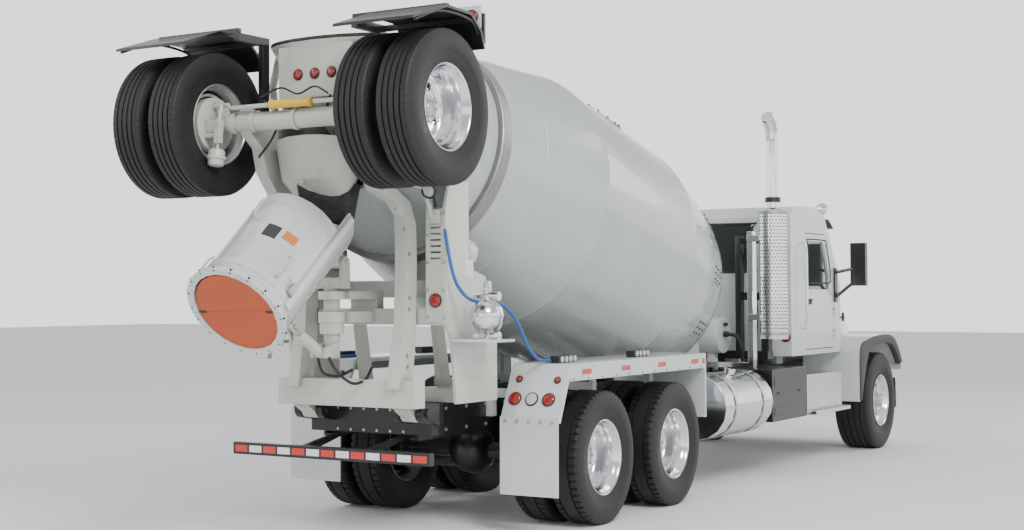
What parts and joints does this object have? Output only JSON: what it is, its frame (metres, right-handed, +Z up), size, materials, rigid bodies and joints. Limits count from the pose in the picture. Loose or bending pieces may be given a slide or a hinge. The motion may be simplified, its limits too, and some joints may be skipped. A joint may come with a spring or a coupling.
{
  "type": "concrete mixer truck",
  "caption": "Concrete mixer truck with a conventional cab, tilted drum, folding discharge chute and a booster axle stowed up over the rear.",
  "frame": {"origin": "on the ground under the middle of the truck's overall box", "axes": "-Y to the front of the truck, +X to its left side, +Z up"},
  "size_m": [2.74, 11.42, 3.8348],
  "materials": {
    "white_paint": "gloss enamel, dusty",
    "cream_paint": "semi-gloss enamel, worn",
    "drum_paint": "gloss enamel",
    "black_paint": "satin chassis black",
    "grey_paint": "semi-gloss",
    "orange_paint": "matt, faded",
    "polished_aluminium": "polished",
    "bright_chrome": "polished",
    "machined_steel": "oily",
    "tyre_rubber": "matt",
    "dark_plastic": "grained",
    "tinted_glass": "clear, tinted"
  },
  "bodies": {
    "truck": {"frame": "black_paint", "underride_bar": "black_paint", "front_drive_axle": "black_paint", "rear_drive_axle": "black_paint", "walking_beams": "black_paint", "front_axle": "black_paint", "engine_block": "machined_steel", "propeller_shaft": "machined_steel", "front_bumper": "bright_chrome", "cab_shell": "white_paint", "windshield": "tinted_glass", "rear_window": "tinted_glass", "cab_interior": "dark_plastic", "exhaust_stack": "bright_chrome", "hose_rack": "black_paint", "water_tank": "white_paint", "air_tank": "white_paint", "front_pedestal": "white_paint", "rear_pedestal": "cream_paint", "charge_hopper": "cream_paint", "collector_funnel": "cream_paint", "water_pump": "polished_aluminium", "ladder": "grey_paint", "fuel_tank_right": "polished_aluminium", "fuel_tank_left": "polished_aluminium", "battery_box": "black_paint", "mirror_left": "black_paint", "mirror_right": "black_paint", "deck_left": "white_paint", "deck_right": "white_paint", "step_box_left": "polished_aluminium", "step_box_right": "polished_aluminium"},
    "drum": {"drum": "drum_paint"},
    "hood": {"hood": "white_paint"},
    "chute_turntable": {"chute_turntable": "cream_paint"},
    "chute": {"main_chute": "white_paint", "chute_cover": "orange_paint"},
    "folding_chute": {"folding_chute": "white_paint"},
    "lift_barrel": {"chute_lift_barrel": "cream_paint"},
    "lift_rod": {"chute_lift_rod": "bright_chrome"},
    "booster": {"booster_frame": "cream_paint", "booster_fender_left": "black_paint", "booster_fender_right": "black_paint"},
    "door_left": {"door_left": "white_paint", "door_glass_left": "tinted_glass"},
    "front_knuckle_left": {"front_knuckle_left": "machined_steel"},
    "front_wheel_left": {"front_wheel_left": "tyre_rubber"},
    "mid_wheels_left": {"mid_wheels_left": "tyre_rubber"},
    "rear_wheels_left": {"rear_wheels_left": "tyre_rubber"},
    "booster_knuckle_left": {"booster_knuckle_left": "cream_paint"},
    "booster_wheels_left": {"booster_wheels_left": "tyre_rubber"},
    "door_right": {"door_right": "white_paint", "door_glass_right": "tinted_glass"},
    "front_knuckle_right": {"front_knuckle_right": "machined_steel"},
    "front_wheel_right": {"front_wheel_right": "tyre_rubber"},
    "mid_wheels_right": {"mid_wheels_right": "tyre_rubber"},
    "rear_wheels_right": {"rear_wheels_right": "tyre_rubber"},
    "booster_knuckle_right": {"booster_knuckle_right": "cream_paint"},
    "booster_wheels_right": {"booster_wheels_right": "tyre_rubber"}
  },
  "joints": [
    {"name": "drum_spin", "type": "hinge", "parent": "truck", "child": "drum", "pos_m": [0, 0.36, 2.197], "axis": [0, 0.9699, 0.2436], "continuous": true},
    {"name": "hood_tip", "type": "hinge", "parent": "truck", "child": "hood", "pos_m": [0, -5.555, 0.92], "axis": [1, 0, 0], "range_deg": [0, 55]},
    {"name": "chute_swing", "type": "hinge", "parent": "truck", "child": "chute_turntable", "pos_m": [0, 4.36, 1.6], "axis": [0, 0, 1], "range_deg": [-65, 65]},
    {"name": "chute_tilt", "type": "hinge", "parent": "chute_turntable", "child": "chute", "pos_m": [0, 4.36, 2.06], "axis": [1, 0, 0], "range_deg": [-6, 17]},
    {"name": "chute_fold", "type": "hinge", "parent": "chute", "child": "folding_chute", "pos_m": [0, 5.47092, 1.70626], "axis": [-1, 0, 0], "range_deg": [0, 180]},
    {"name": "lift_barrel_pivot", "type": "hinge", "parent": "chute_turntable", "child": "lift_barrel", "pos_m": [0, 4.5, 1.4], "axis": [1, 0, 0], "range_deg": [-3.86, 10.02]},
    {"name": "lift_rod_slide", "type": "slide", "parent": "lift_barrel", "child": "lift_rod", "axis": [0, 0.8703, 0.4925], "range_m": [-0.068, 0.1889]},
    {"name": "booster_lift", "type": "hinge", "parent": "truck", "child": "booster", "pos_m": [0, 3.98, 0.955], "axis": [-1, 0, 0], "range_deg": [0, 79]},
    {"name": "door_left_swing", "type": "hinge", "parent": "truck", "child": "door_left", "pos_m": [1.0625, -3.744, 1.8], "axis": [0, 0, -1], "range_deg": [0, 65]},
    {"name": "steer_left", "type": "hinge", "parent": "truck", "child": "front_knuckle_left", "pos_m": [0.84, -4.98, 0.56], "axis": [0, 0, 1], "range_deg": [-30, 30]},
    {"name": "front_wheel_left_roll", "type": "hinge", "parent": "front_knuckle_left", "child": "front_wheel_left", "pos_m": [1.01, -4.98, 0.56], "axis": [1, 0, 0], "continuous": true},
    {"name": "mid_wheels_left_roll", "type": "hinge", "parent": "truck", "child": "mid_wheels_left", "pos_m": [0.9285, 1, 0.5295], "axis": [1, 0, 0], "continuous": true},
    {"name": "rear_wheels_left_roll", "type": "hinge", "parent": "truck", "child": "rear_wheels_left", "pos_m": [0.9285, 2.36, 0.5295], "axis": [1, 0, 0], "continuous": true},
    {"name": "booster_steer_left", "type": "hinge", "parent": "booster", "child": "booster_knuckle_left", "pos_m": [0.655, 4.79, 3.08], "axis": [0, -0.9816, 0.1908], "range_deg": [-10, 10]},
    {"name": "booster_wheels_left_roll", "type": "hinge", "parent": "booster_knuckle_left", "child": "booster_wheels_left", "pos_m": [0.9885, 4.79, 3.08], "axis": [1, 0, 0], "continuous": true},
    {"name": "door_right_swing", "type": "hinge", "parent": "truck", "child": "door_right", "pos_m": [-1.0625, -3.744, 1.8], "axis": [0, 0, 1], "range_deg": [0, 65]},
    {"name": "steer_right", "type": "hinge", "parent": "truck", "child": "front_knuckle_right", "pos_m": [-0.84, -4.98, 0.56], "axis": [0, 0, 1], "range_deg": [-30, 30]},
    {"name": "front_wheel_right_roll", "type": "hinge", "parent": "front_knuckle_right", "child": "front_wheel_right", "pos_m": [-1.01, -4.98, 0.56], "axis": [1, 0, 0], "continuous": true},
    {"name": "mid_wheels_right_roll", "type": "hinge", "parent": "truck", "child": "mid_wheels_right", "pos_m": [-0.9285, 1, 0.5295], "axis": [1, 0, 0], "continuous": true},
    {"name": "rear_wheels_right_roll", "type": "hinge", "parent": "truck", "child": "rear_wheels_right", "pos_m": [-0.9285, 2.36, 0.5295], "axis": [1, 0, 0], "continuous": true},
    {"name": "booster_steer_right", "type": "hinge", "parent": "booster", "child": "booster_knuckle_right", "pos_m": [-0.655, 4.79, 3.08], "axis": [0, -0.9816, 0.1908], "range_deg": [-10, 10]},
    {"name": "booster_wheels_right_roll", "type": "hinge", "parent": "booster_knuckle_right", "child": "booster_wheels_right", "pos_m": [-0.9885, 4.79, 3.08], "axis": [1, 0, 0], "continuous": true}
  ],
  "couplings": [
    {"joint": "lift_barrel_pivot", "follows": "chute_tilt", "ratio": 0.56},
    {"joint": "lift_rod_slide", "follows": "chute_tilt", "m_per_rad": 0.63},
    {"joint": "steer_right", "follows": "steer_left", "ratio": 1},
    {"joint": "booster_steer_right", "follows": "booster_steer_left", "ratio": 1}
  ]
}
